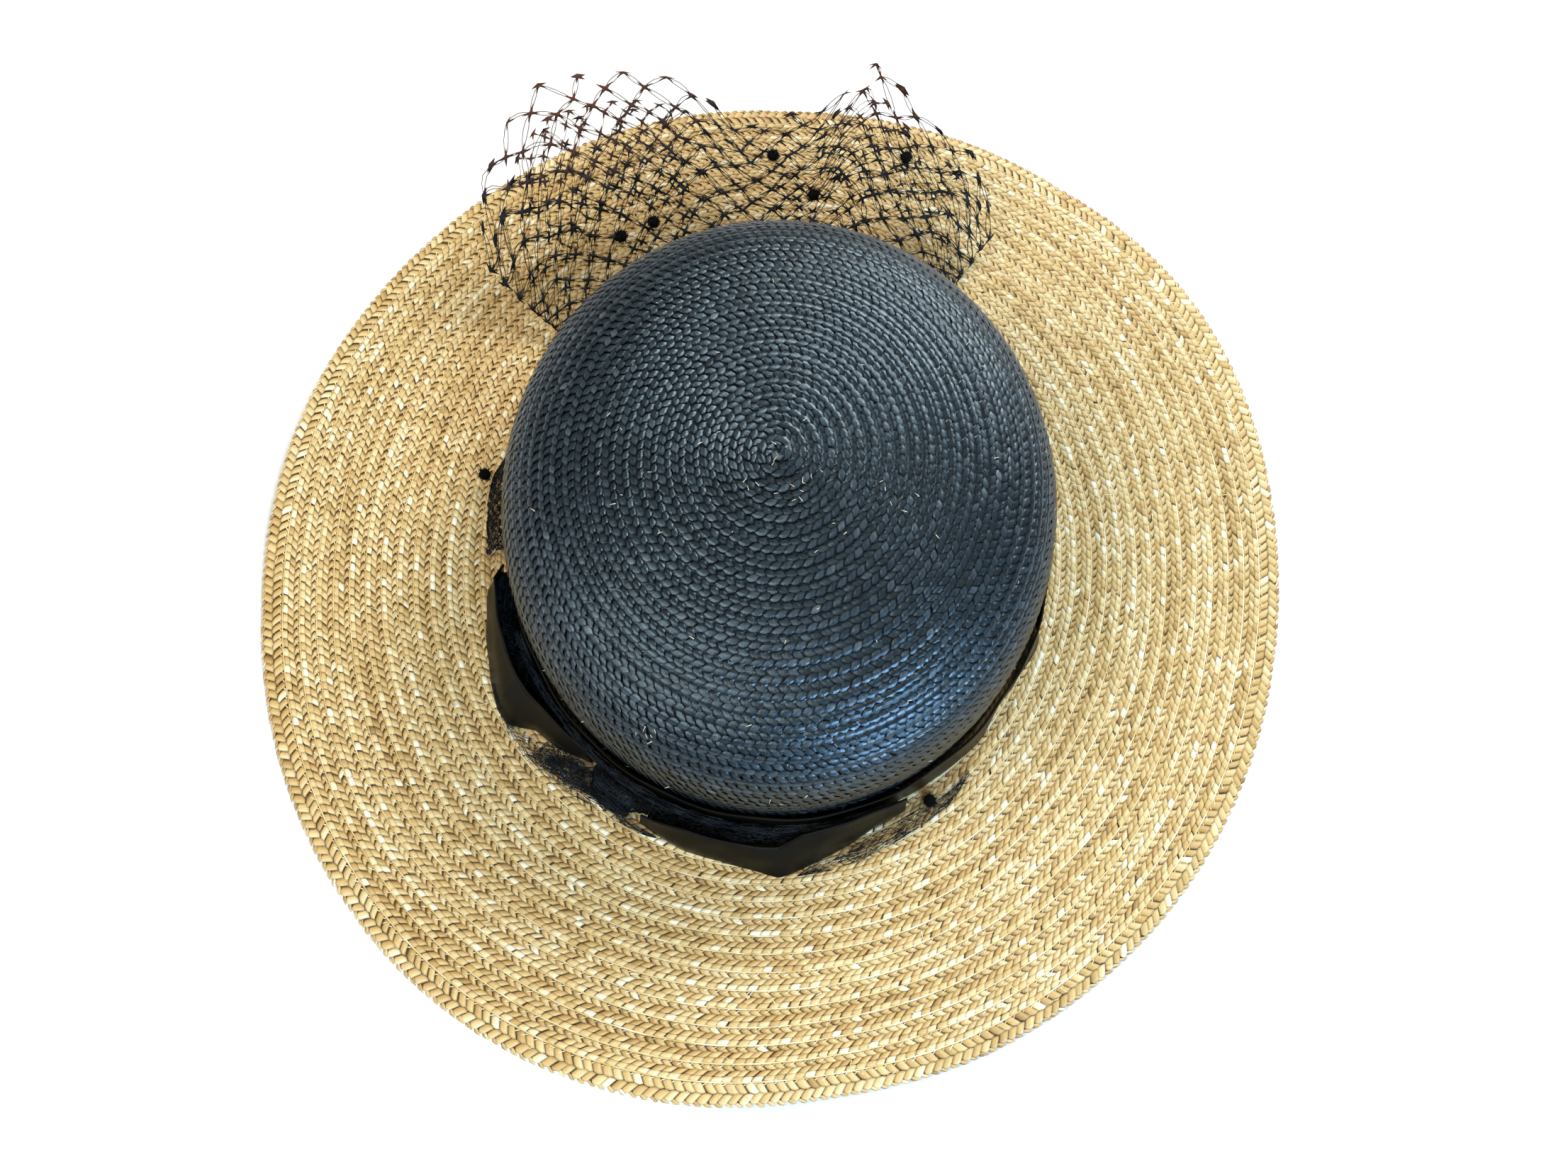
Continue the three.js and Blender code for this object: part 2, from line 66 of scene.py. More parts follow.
# The camera is above the front of the hat and looks 72 degrees down, as in the photo.
TARGET = Vector((0.0045, -0.0164, 0.0))
DISTANCE = 0.450
ELEVATION = math.radians(72)
PHOTO_WIDTH = 2212
FOCAL_PIXELS = 1754
SENSOR = 36
camera_data = bpy.data.cameras.new("camera")
camera = bpy.data.objects.new("camera", camera_data)
bpy.context.scene.collection.objects.link(camera)
camera_data.sensor_width = SENSOR
camera_data.lens = FOCAL_PIXELS / PHOTO_WIDTH * SENSOR
camera_data.clip_start = 0.01
camera.location = TARGET + DISTANCE * Vector((0, -math.cos(ELEVATION), math.sin(ELEVATION)))
camera.rotation_euler = (math.pi / 2 - ELEVATION, 0, 0)
bpy.context.scene.camera = camera
bpy.context.scene.view_settings.view_transform = "Standard"

# The part's own sizes, in millimetres.
BRIM_RADIUS, BRIM_OVAL, BRIM_TURN = 187, 4.1, math.radians(70)
BRIM_THICKNESS, BRIM_RISE, BRIM_WAVE = 2.2, 5, 5
CROWN_HALF_WIDTH, CROWN_HALF_LENGTH = 92, 102
CROWN_HEIGHT, CROWN_THICKNESS, CROWN_FLARE = 75, 2, 1.004
CROWN_X, CROWN_Y = 2.8, 1.1
ROW_LAP, GAP = 0.45, 0.3
RIBBON_WIDTH, SHEET_THICKNESS = 19, 1
RUFFLE_DEPTH, FOLD_DEPTH, GATHER_HEIGHT = 4, 18, 7
VEIL_START, VEIL_SPAN, VEIL_LIFT = 56, 81, 55

# The crown's outline: shares of its half length and of its height, from the top down.
SECTIONS = [(0, 0), (0.25, 0.007), (0.44, 0.025), (0.58, 0.047), (0.68, 0.073), (0.77, 0.108),
            (0.85, 0.16), (0.915, 0.228), (0.965, 0.32), (0.992, 0.44), (1, 0.58), (1, 0.8),
            (CROWN_FLARE, 1)]

# The band: degrees round the crown, how far its foot stands out, how far its top leans in, its height.
BAND = [(0, .35, .2, .98), (14, .65, .4, 1.02), (28, .1, .1, .96), (60, 0, 0, 1), (100, 0, 0, .97),
        (140, 0, 0, 1), (170, .1, .08, .98), (200, .05, .05, .96), (240, .05, .05, .98),
        (280, .1, .08, 1), (300, .25, .2, 1.04), (313, .6, .45, .98), (320, .15, .1, 1.05),
        (327, .5, .4, .97), (336, 1, .75, 1.06), (343, .2, .15, .99), (351, .05, .05, 1.06),
        (360, .35, .2, .98)]

# The folds: degrees, how far the foot and the head stand out, the height.
FOLD_LEFT = [(189, .12, .08, .72), (192, .56, .23, .86), (198, .70, .27, .95), (206, .86, .31, 1.02),
             (213, 1.02, .33, 1.04), (216, .98, .30, .98), (220, .59, .22, .86), (226, .41, .15, .74),
             (232, .16, .09, .6)]
FOLD_FRONT = [(246, .5, .42, .66), (250, .56, .4, .8), (254, .63, .36, .84), (260, .62, .34, .74),
              (266, .71, .36, .66), (270, .81, .34, .62), (274, .66, .18, .9), (280, .44, .12, 1.02),
              (287, .22, .08, 1.08), (293, .15, .08, 1.06)]

# The gathered nets: degrees, how far they reach, how high they bulge.
WRAP_LEFT = [(158, .41, .7), (168, .65, .9), (184, .55, .85)]
WRAP_FRONT = [(233.5, .3, .6), (236, .58, .9), (241, .5, 1), (246, .3, .8), (254, .26, .8),
              (262, .26, .7), (268, .2, .5)]

# The veil: degrees, how far its edge reaches, how high it stands.
VEIL = [(56, .8, .15), (64, .9, .4), (72, .87, .8), (79, .92, .95), (86, .845, .62), (94, .855, .47),
        (103, .91, .76), (113, .93, .98), (122, .925, 1), (130, .9, .76), (137, .81, .29)]


def look(table, at, column, smooth=True):
    """A column's value between the rows of a table."""
    rows = np.array(table, float)
    at = np.clip(np.asarray(at, float), rows[0, 0], rows[-1, 0])
    i = np.clip(np.searchsorted(rows[:, 0], at, side="right") - 1, 0, len(rows) - 2)
    t = (at - rows[i, 0]) / (rows[i + 1, 0] - rows[i, 0])
    if smooth:
        t = t * t * (3 - 2 * t)
    return rows[i, column] + (rows[i + 1, column] - rows[i, column]) * t


def crown_reach(turn):
    return CROWN_FLARE / np.hypot(np.cos(turn) / CROWN_HALF_WIDTH, np.sin(turn) / CROWN_HALF_LENGTH)


def brim_reach(turn):
    end = np.exp(-((np.degrees(turn) % 360 - 276) ** 2) / 90)
    oval = BRIM_OVAL * np.cos(2 * (turn - BRIM_TURN))
    return BRIM_RADIUS + oval + 0.6 * np.sin(4 * turn - 1.9) - 1.2 * end


def brim_hole(turn):
    return crown_reach(turn) - CROWN_THICKNESS + CROWN_X * np.cos(turn) + CROWN_Y * np.sin(turn)


def brim_under(turn, along):
    """The height of the brim's underside, from its hole (0) to its edge (1)."""
    wave = 0.35 + 0.62 * np.sin(3 * turn + 0.7) + 0.45 * np.sin(5 * turn - 1.1)
    rise = BRIM_RISE * np.maximum(0, 1 - along / 0.82) ** 1.3
    return rise + BRIM_WAVE * np.maximum(0, wave) * along * along


# The part is shifted so that the middle of its faceted brim is the origin.
FACETS = 48
facet_turns = np.arange(FACETS) * TAU / FACETS
edge_x = brim_reach(facet_turns) * np.cos(facet_turns)
edge_y = brim_reach(facet_turns) * np.sin(facet_turns)
SHIFT = np.array([-(edge_x.max() + edge_x.min()) / 2, -(edge_y.max() + edge_y.min()) / 2, 0])


def over_brim(turn, away, height):
    """Points over the brim, at a distance from the crown's foot and a height."""
    r = crown_reach(turn) + away
    x, y = CROWN_X + r * np.cos(turn), CROWN_Y + r * np.sin(turn)
    around = np.arctan2(y, x)
    inner = brim_hole(around)
    along = np.maximum(0, (np.hypot(x, y) - inner) / (brim_reach(around) - inner))
    z = brim_under(around, along) + BRIM_THICKNESS + GAP / 2 + height
    return np.stack(np.broadcast_arrays(x, y, z), -1) + SHIFT


def band_out(deg):
    return SHEET_THICKNESS / 2 + 2 * GAP + look(BAND, deg, 1) * RUFFLE_DEPTH


def beside_band(deg):
    """How far out a ribbon or a net stands that lies against the band."""
    return band_out(deg) + SHEET_THICKNESS + GAP


def band_at(u, v):
    deg = (u * 360) % 360
    lean = look(BAND, deg, 2) * RUFFLE_DEPTH
    high = look(BAND, deg, 3) * RIBBON_WIDTH
    return over_brim(np.radians(deg), band_out(deg) - lean * v, high * v)


def fold_edges(rows, deg):
    """How far a fold's start, foot and head are from the crown, and its height."""
    start = beside_band(deg)
    foot = start + look(rows, deg, 1, False) * FOLD_DEPTH
    head = start + look(rows, deg, 2, False) * FOLD_DEPTH
    return start, foot, head, look(rows, deg, 3, False) * RIBBON_WIDTH


def fold_at(rows):
    """The surface of a fold, from its table."""
    def at(u, v):
        deg = rows[0][0] + u * (rows[-1][0] - rows[0][0])
        start, foot, head, high = fold_edges(rows, deg)
        belly = 0.9 * np.sin(math.pi * v)
        return over_brim(np.radians(deg), foot + (head - foot) * v + belly, GAP + high * v)
    return at


def wrap_at(rows):
    """The surface of a gathered net, from its table."""
    def at(u, v):
        deg = rows[0][0] + u * (rows[-1][0] - rows[0][0])
        inner = beside_band(deg) + GAP
        outer = inner + look(rows, deg, 1) * FOLD_DEPTH
        hump = look(rows, deg, 2) * GATHER_HEIGHT
        high = 0.33 + hump * (1 + 0.13 * np.sin(deg * 1.1)) * np.sin(math.pi * v)
        return over_brim(np.radians(deg), inner + (outer - inner) * v, high)
    return at


def veil_at(u, v, lift_share=1.0, out_share=1.0):
    """The surface of the standing veil, or of a layer under it."""
    deg = VEIL_START + u * VEIL_SPAN
    start = beside_band(deg) + 2 * GAP
    far = look(VEIL, deg, 1) * BRIM_RADIUS * out_share - crown_reach(np.radians(deg))
    lift = look(VEIL, deg, 2) * VEIL_LIFT * lift_share
    puff = 0.09 * VEIL_LIFT * np.sin(math.pi * v) * np.sin(math.pi * u)
    ruffle = 0.044 * VEIL_LIFT * np.sin(u * 34) * v * v
    rise = lift * np.maximum(v, 0) ** 1.35 + puff + ruffle
    narrow = 3 * (u - 0.5) * (1 - v)
    return over_brim(np.radians(deg - narrow), start + (far - start) * v, 0.5 + np.maximum(0, rise))


def outline():
    """The crown's outline as the part's smooth curve: the length along it, and its points."""
    pts = np.array([(o * CROWN_HALF_LENGTH, (1 - d) * CROWN_HEIGHT) for o, d in SECTIONS])
    pts = np.vstack([2 * pts[0] - pts[1], pts, 2 * pts[-1] - pts[-2]])
    t = np.linspace(0, 1, 300, endpoint=False)[:, None]
    fine = []
    for i in range(1, len(pts) - 2):
        p = pts[i - 1:i + 3]
        d = np.maximum(np.linalg.norm(np.diff(p, axis=0), axis=1) ** 0.5, 1e-4)
        m1 = ((p[1] - p[0]) / d[0] - (p[2] - p[0]) / (d[0] + d[1]) + (p[2] - p[1]) / d[1]) * d[1]
        m2 = ((p[2] - p[1]) / d[1] - (p[3] - p[1]) / (d[1] + d[2]) + (p[3] - p[2]) / d[2]) * d[1]
        c2, c3 = -3 * p[1] + 3 * p[2] - 2 * m1 - m2, 2 * p[1] - 2 * p[2] + m1 + m2
        fine.append(p[1] + m1 * t + c2 * t ** 2 + c3 * t ** 3)
    fine = np.vstack(fine + [pts[-2][None]])
    arc = np.concatenate([[0], np.cumsum(np.linalg.norm(np.diff(fine, axis=0), axis=1))])
    return arc, fine


ARC, PROFILE = outline()
CROWN_ROW = 4.85
CROWN_FOOT = BRIM_RISE + BRIM_THICKNESS - ROW_LAP + GAP


def crown_surface(n, turn):
    """The crown's outside, n rows from the middle of its top."""
    s = np.clip(n * CROWN_ROW, 0, ARC[-1])
    r = np.maximum(np.interp(s, ARC, PROFILE[:, 0]), 1e-3)
    high = np.interp(s, ARC, PROFILE[:, 1])
    oval = crown_reach(turn) / (CROWN_FLARE * CROWN_HALF_LENGTH)
    dent = 1 + 0.006 * np.sin(3 * turn + 0.4) * (high / CROWN_HEIGHT) * (r / CROWN_HALF_LENGTH)
    x, y = CROWN_X + r * oval * dent * np.cos(turn), CROWN_Y + r * oval * dent * np.sin(turn)
    return np.stack([x, y, CROWN_FOOT + high], -1) + SHIFT


# Each row of the brim takes a like share of its width. The last one is wider.
BRIM_ROWS = 16
ROW_SHARES = np.concatenate([np.arange(BRIM_ROWS) * 0.0618, [1.0]])
LAST_SHARE = 0.073


def brim_surface(n, turn, side=1):
    """The brim's upper side (1) or lower side (-1), n rows from its hole."""
    share = np.interp(n, np.arange(BRIM_ROWS + 1), ROW_SHARES) + LAST_SHARE * np.maximum(0, n - BRIM_ROWS)
    share = share + 0.004 * np.sin(7 * turn + 9 * share) * np.sin(math.pi * np.clip(share, 0, 1))
    wall = crown_reach(turn) - CROWN_THICKNESS
    x = (CROWN_X + wall * np.cos(turn)) * (1 - share) + brim_reach(turn) * np.cos(turn) * share
    y = (CROWN_Y + wall * np.sin(turn)) * (1 - share) + brim_reach(turn) * np.sin(turn) * share
    z = brim_under(turn, np.clip(share, 0, 1)) + (BRIM_THICKNESS if side > 0 else 0)
    return np.stack([x, y, z], -1) + SHIFT


def make(name, verts, faces, material, slot, tone=None, grain=None, smooth=True, replaces=()):
    """One piece, from points in millimetres. Its materials read tone and grain."""
    mesh = bpy.data.meshes.new(name)
    faces = faces.tolist() if isinstance(faces, np.ndarray) else faces
    mesh.from_pydata((np.asarray(verts) * MM).tolist(), [], faces)
    if tone is not None:
        layer = mesh.attributes.new("tone", "FLOAT", "POINT")
        layer.data.foreach_set("value", np.asarray(tone, np.float32).ravel())
    if grain is not None:
        layer = mesh.attributes.new("grain", "FLOAT_VECTOR", "POINT")
        layer.data.foreach_set("vector", np.asarray(grain, np.float32).ravel())
    if smooth:
        mesh.polygons.foreach_set("use_smooth", [True] * len(mesh.polygons))
    mesh.materials.append(material)
    mesh.update()
    obj = bpy.data.objects.new(name, mesh)
    bpy.context.scene.collection.objects.link(obj)
    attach(obj, "root")
    if replaces:
        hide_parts(*replaces)
    return obj


def grid_faces(nu, nv, count, start, flip):
    """The faces of several like grids of points, one after another."""
    i, j = np.meshgrid(np.arange(nu), np.arange(nv), indexing="ij")
    a = (i * (nv + 1) + j).ravel()
    quad = np.stack([a, a + nv + 1, a + nv + 2, a + 1], 1)
    if flip:
        quad = quad[:, ::-1]
    step = (nu + 1) * (nv + 1)
    return (quad[None] + (start + np.arange(count) * step)[:, None, None]).reshape(-1, 4)


def unit(vectors, least=1e-9):
    """Vectors of length one."""
    return vectors / np.maximum(np.linalg.norm(vectors, axis=-1, keepdims=True), least)


def normals(surface, n, turn):
    e = 1e-3
    du = surface(n + e, turn) - surface(n - e, turn)
    dv = surface(n, turn + e) - surface(n, turn - e)
    return unit(np.cross(du, dv))


class Bunch:
    """Collects many small grids into one mesh."""

    def __init__(self):
        self.verts, self.faces, self.tone, self.grain, self.count = [], [], [], [], 0

    def add(self, points, tone, grain, flip=False):
        k, a, b = points.shape[:3]
        self.faces.append(grid_faces(a - 1, b - 1, k, self.count, flip))
        self.verts.append(points.reshape(-1, 3))
        self.tone.append(np.broadcast_to(tone, (k, a, b)).ravel())
        self.grain.append(grain.reshape(-1, 3))
        self.count += k * a * b

    def done(self, name, material, slot):
        verts, faces = np.vstack(self.verts), np.vstack(self.faces)
        tone, grain = np.concatenate(self.tone), np.vstack(self.grain)
        return make(name, verts, faces, material, slot, tone, grain, smooth=False)


def column(bunch, surface, centre, step, start, col, cells, side=1, spiral=False):
    """One column of overlapping splints along a braid. centre, step: each splint's turn and its share."""
    count = len(centre)
    u, v = np.meshgrid(np.linspace(0, 1, cells + 1), np.linspace(0, 1, cells + 1), indexing="ij")
    r = chance.normal(0, 1, (6, count, 1, 1))
    length = col["long"] * (1 + 0.06 * r[0])
    p = (u - 0.5) * length + col["slant"] * (1 + 0.08 * r[1]) * (v - 0.5) + 0.05 * r[2]
    taper = 1 - col.get("taper", 0.25) * np.abs(2 * u - 1) ** 3
    q = col["q0"] + (col["q1"] - col["q0"]) * (0.5 + (v - 0.5) * taper) + 0.012 * r[3]
    across = 1 - (2 * v - 1) ** 2
    swell = 0.35 + 0.65 * (1 - (2 * u - 1) ** 2)
    h = col["h0"] + (col["h1"] - col["h0"]) * v + col["dome"] * across * swell
    h = h + col["tilt"] * (u - 0.5) * (1 + 0.25 * r[4]) - 0.06 * (1 - across) ** 2
    turn = centre[:, None, None] + p * step[:, None, None]
    n = start + q + (turn / TAU if spiral else 0)
    base = surface(n, turn)
    normal = side * normals(surface, n, turn)
    patch = 0.06 * np.sin(3 * turn + 1.3 * start) + 0.05 * np.sin(7 * turn - 2.1 * start)
    tone = col["tone"] + col["vary"] * r[5] + patch * col.get("patch", 1)
    tone = np.where(chance.random((count, 1, 1)) < col.get("odd", 0.03), col.get("bright", 0.95), tone)
    # Each splint is painted darker at its tucked-in start and lighter at its raised tip: painted shade and a
    # painted highlight.
    tone = np.clip(tone + col.get("shade_to_tip", 0.12) * (2 * u - 1), 0, 1)
    own = chance.random((count, 1, 1)) * 90
    grain = np.stack(np.broadcast_arrays(u + 0 * q, v + 0 * q, own + 0 * q), -1)
    bunch.add(base + normal * h[..., None], tone, grain, flip=side > 0)


def round_length(surface, row):
    turn = np.linspace(0, TAU, 361)
    points = surface(np.full(361, float(row)), turn)
    return np.linalg.norm(np.diff(points, axis=0), axis=1).sum()


def around(surface, row, pitch, phase):
    """The splints' turns along one closed row."""
    count = int(round(round_length(surface, row + 0.5) / pitch))
    return (np.arange(count) + phase) * TAU / count, np.full(count, TAU / count)


def winding(surface, first, last, pitch):
    """The splints' turns along a spiral row, between two rows."""
    turn = np.linspace(first * TAU, last * TAU, int((last - first) * 240) + 1)
    path = surface(np.maximum(turn / TAU + 0.5, 0.25), turn)
    long = np.concatenate([[0], np.cumsum(np.linalg.norm(np.diff(path, axis=0), axis=1))])
    at = np.arange(0, long[-1], pitch)
    centre = np.interp(at, long, turn)
    return centre, pitch / np.interp(at, long, np.gradient(long, turn))


RIDGE_PLACE, RIDGE_HEIGHT, RIDGE_RADIUS, RIDGE_TONE = 0.97, -0.32, 0.26, 0.72


def ridge(bunch, row, steps):
    """The thin round straw along the outer side of a row of the brim."""
    i = np.arange(steps + 1)
    turn = TAU * i / steps
    n = row + RIDGE_PLACE
    base, normal = brim_surface(n, turn), normals(brim_surface, n, turn)
    along = np.roll(base, -1, 0) - np.roll(base, 1, 0)
    along[0], along[-1] = base[1] - base[0], base[-1] - base[-2]
    along /= np.linalg.norm(along, axis=1, keepdims=True)
    out = np.cross(along, normal)
    angle = TAU * np.arange(6) / 5
    fat = RIDGE_RADIUS * (1 + 0.12 * np.sin(i * 1.7))[:, None, None]
    ring = base[:, None] + normal[:, None] * (RIDGE_HEIGHT + fat * np.sin(angle)[None, :, None])
    ring = ring + out[:, None] * fat * np.cos(angle)[None, :, None]
    # The ridge is painted lighter towards the right front and darker towards the left back, as painted light
    # and shade.
    tone = RIDGE_TONE + 0.18 * np.cos(turn + 0.35)[:, None]
    tone = np.clip(tone + 0.12 * chance.normal(0, 1, (steps + 1, 1)), 0, 1)[None]
    flat = np.zeros((steps + 1, 6))
    grain = np.stack(np.broadcast_arrays(9 + angle[None] * 0.1, i[:, None] * 0.4, flat), -1)
    bunch.add(ring[None], tone, grain[None])


def nodes_of(name):
    material = bpy.data.materials.new(name)
    material.use_nodes = True
    tree = material.node_tree
    return material, tree, tree.nodes["Principled BSDF"]


def add(tree, kind, **values):
    node = tree.nodes.new(kind)
    for key, value in values.items():
        setattr(node, key, value)
    return node


def ramp(tree, source, stops):
    node = add(tree, "ShaderNodeValToRGB")
    elements = node.color_ramp.elements
    while len(elements) < len(stops):
        elements.new(0.5)
    for element, (place, colour) in zip(elements, stops):
        element.position = place
        element.color = (*colour, 1)
    tree.links.new(source, node.inputs["Fac"])
    return node.outputs["Color"]


def noise(tree, place, scale, detail):
    node = add(tree, "ShaderNodeTexNoise")
    node.inputs["Scale"].default_value = scale
    node.inputs["Detail"].default_value = detail
    tree.links.new(place, node.inputs["Vector"])
    return node.outputs["Fac"]


def relief(tree, height, strength):
    """A bump node, whose height is taken as a tenth of a millimetre."""
    node = add(tree, "ShaderNodeBump")
    node.inputs["Strength"].default_value = strength
    node.inputs["Distance"].default_value = 0.0001
    tree.links.new(height, node.inputs["Height"])
    return node


def multiply(tree, first, second):
    """Two colours, multiplied."""
    mix = add(tree, "ShaderNodeMix", data_type="RGBA", blend_type="MULTIPLY")
    mix.inputs["Factor"].default_value = 1
    tree.links.new(first, mix.inputs["A"])
    tree.links.new(second, mix.inputs["B"])
    return mix.outputs["Result"]


def straw(name, stops, rough, streak_dark, bump, shine, tint, edge_shade):
    """Streaked straw. Its colour follows tone, and each splint is darkened towards its edges to a given
    tone: painted shade between the splints.
    """
    material, tree, shader = nodes_of(name)
    tone = add(tree, "ShaderNodeAttribute", attribute_name="tone").outputs["Fac"]
    grain = add(tree, "ShaderNodeAttribute", attribute_name="grain").outputs["Vector"]
    stretch = add(tree, "ShaderNodeVectorMath", operation="MULTIPLY")
    stretch.inputs[1].default_value = (9.0, 0.9, 1.0)
    tree.links.new(grain, stretch.inputs[0])
    streak = noise(tree, stretch.outputs[0], 1.6, 3)
    shade = ramp(tree, streak, [(0.3, (streak_dark,) * 3), (0.7, (1, 1, 1))])
    streaked = multiply(tree, ramp(tree, tone, stops), shade)
    middle = add(tree, "ShaderNodeVectorMath", operation="SUBTRACT")
    middle.inputs[1].default_value = (0.5, 0.5, 0)
    tree.links.new(grain, middle.inputs[0])
    off = add(tree, "ShaderNodeVectorMath", operation="ABSOLUTE")
    tree.links.new(middle.outputs[0], off.inputs[0])
    split = add(tree, "ShaderNodeSeparateXYZ")
    tree.links.new(off.outputs[0], split.inputs[0])
    far = add(tree, "ShaderNodeMath", operation="MAXIMUM")
    tree.links.new(split.outputs["X"], far.inputs[0])
    tree.links.new(split.outputs["Y"], far.inputs[1])
    # Painted shade: each splint's colour darkens towards its edges, where it meets the next splints.
    dark, plain = (edge_shade,) * 3, (1, 1, 1)
    edge_shading = ramp(tree, far.outputs[0], [(0.32, plain), (0.46, dark), (0.52, dark), (0.53, plain)])
    tree.links.new(multiply(tree, streaked, edge_shading), shader.inputs["Base Color"])
    gloss = add(tree, "ShaderNodeMapRange")
    gloss.inputs["To Min"].default_value = rough - 0.08
    gloss.inputs["To Max"].default_value = rough + 0.12
    tree.links.new(streak, gloss.inputs["Value"])
    tree.links.new(gloss.outputs["Result"], shader.inputs["Roughness"])
    tree.links.new(relief(tree, streak, bump).outputs["Normal"], shader.inputs["Normal"])
    shader.inputs["Specular IOR Level"].default_value = shine
    shader.inputs["Specular Tint"].default_value = (*tint, 1)
    return material


STRAW_STOPS = [(0.0, (0.16, 0.085, 0.02)), (0.3, (0.50, 0.31, 0.10)), (0.55, (0.66, 0.46, 0.185)),
               (0.8, (0.80, 0.64, 0.33)), (1.0, (0.92, 0.86, 0.64))]
NAVY_STOPS = [(0.0, (0.001, 0.0013, 0.002)), (0.3, (0.004, 0.007, 0.009)), (0.55, (0.011, 0.018, 0.024)),
              (0.8, (0.036, 0.052, 0.064)), (1.0, (0.11, 0.13, 0.14))]
straw_material = straw("straw_natural", STRAW_STOPS, 0.42, 0.74, 0.5, 0.4, (1, 1, 1), 0.66)
navy_material = straw("straw_dark", NAVY_STOPS, 0.29, 0.5, 0.6, 0.72, (0.58, 0.81, 1), 0.1)


def cloth(name, colour, second, rough, scale, bump):
    """Dark cloth of two like colours in soft patches, with a fine uneven surface."""
    material, tree, shader = nodes_of(name)
    place = add(tree, "ShaderNodeTexCoord").outputs["Object"]
    tint = ramp(tree, noise(tree, place, scale, 4), [(0.3, colour), (0.7, second)])
    tree.links.new(tint, shader.inputs["Base Color"])
    weave = relief(tree, noise(tree, place, scale * 14, 2), bump)
    tree.links.new(weave.outputs["Normal"], shader.inputs["Normal"])
    shader.inputs["Roughness"].default_value = rough
    shader.inputs["Specular IOR Level"].default_value = 0.07
    return material


satin_material = cloth("ribbon_satin", (0.002, 0.002, 0.0018), (0.007, 0.006, 0.0035), 0.36, 60, 0.25)
net_material = cloth("veil_net", (0.004, 0.005, 0.006), (0.020, 0.025, 0.030), 0.5, 160, 0.1)
chenille_material = cloth("veil_dot", (0.002, 0.002, 0.002), (0.006, 0.006, 0.006), 0.9, 700, 0.6)


def painted_backlight(material, colour):
    """Lets a cloth turn to a second colour where its tone is high. On the net this second colour is a
    painted backlight.
    """
    tree = material.node_tree
    tone = add(tree, "ShaderNodeAttribute", attribute_name="tone")
    mix = add(tree, "ShaderNodeMix", data_type="RGBA")
    target = tree.nodes["Principled BSDF"].inputs["Base Color"]
    tree.links.new(tone.outputs["Fac"], mix.inputs["Factor"])
    tree.links.new(target.links[0].from_socket, mix.inputs["A"])
    mix.inputs["B"].default_value = (*colour, 1)
    tree.links.new(mix.outputs["Result"], target)


def ribbed(material):
    """Gives a cloth fine ribs across its length."""
    tree = material.node_tree
    place = add(tree, "ShaderNodeAttribute", attribute_name="grain")
    ribs = add(tree, "ShaderNodeTexWave", wave_type="BANDS", bands_direction="X")
    ribs.inputs["Scale"].default_value = 0.75
    ribs.inputs["Distortion"].default_value = 0.6
    tree.links.new(place.outputs["Vector"], ribs.inputs["Vector"])
    bump = relief(tree, ribs.outputs["Fac"], 0.35)
    target = tree.nodes["Principled BSDF"].inputs["Normal"]
    tree.links.new(target.links[0].from_socket, bump.inputs["Normal"])
    tree.links.new(bump.outputs["Normal"], target)


# The net's brown is a painted backlight on the high edge of the standing veil.
painted_backlight(net_material, (0.085, 0.032, 0.019))
ribbed(satin_material)

# The brim's braid. Each table below is a column of splints in a row: where it starts and ends across
# the row (q0, q1), its length and slant in splints, its height at both sides (h0, h1), its shape, its tones.
# In the brim's tones, the first column is painted darker as shade under the edge of the row before, and the
# third column paler as a painted highlight where the row bulges at its outer edge.
BRIM_COLUMNS = [
    dict(q0=-0.04, q1=0.36, long=1.00, slant=0.55, h0=-0.86, h1=-0.46, dome=0.22, tilt=0.70, tone=0.42,
         vary=0.10, shade_to_tip=0.24, odd=0.02, bright=0.88),
    dict(q0=0.31, q1=0.68, long=1.00, slant=-0.55, h0=-0.46, h1=-0.36, dome=0.22, tilt=0.70, tone=0.50,
         vary=0.10, shade_to_tip=0.24, odd=0.02, bright=0.88),
    dict(q0=0.64, q1=0.98, long=1.00, slant=-0.26, h0=-0.30, h1=-0.34, dome=0.30, tilt=0.34, tone=0.64,
         vary=0.14, shade_to_tip=0.12, odd=0.045),
]
EDGE_COLUMNS = [
    dict(q0=-0.04, q1=0.50, long=1.00, slant=0.60, h0=-0.72, h1=-0.36, dome=0.22, tilt=0.66, tone=0.50,
         vary=0.11, shade_to_tip=0.22, odd=0.03, bright=0.88),
    dict(q0=0.46, q1=1.00, long=1.00, slant=-0.60, h0=-0.36, h1=-0.90, dome=0.22, tilt=0.66, tone=0.53,
         vary=0.11, shade_to_tip=0.22, odd=0.02, bright=0.88),
    dict(q0=0.84, q1=1.10, long=0.50, slant=0.55, h0=-0.72, h1=-1.15, dome=0.10, tilt=0.40, tone=0.50,
         vary=0.14, shade_to_tip=0.10, odd=0.02),
]
TEETH = dict(q0=0.0, q1=0.24, long=0.17, slant=-0.55, h0=-0.28, h1=-0.24, dome=0.06, tilt=0.02, tone=0.86,
             vary=0.08, shade_to_tip=0)
BRIM_PITCH = 3.25


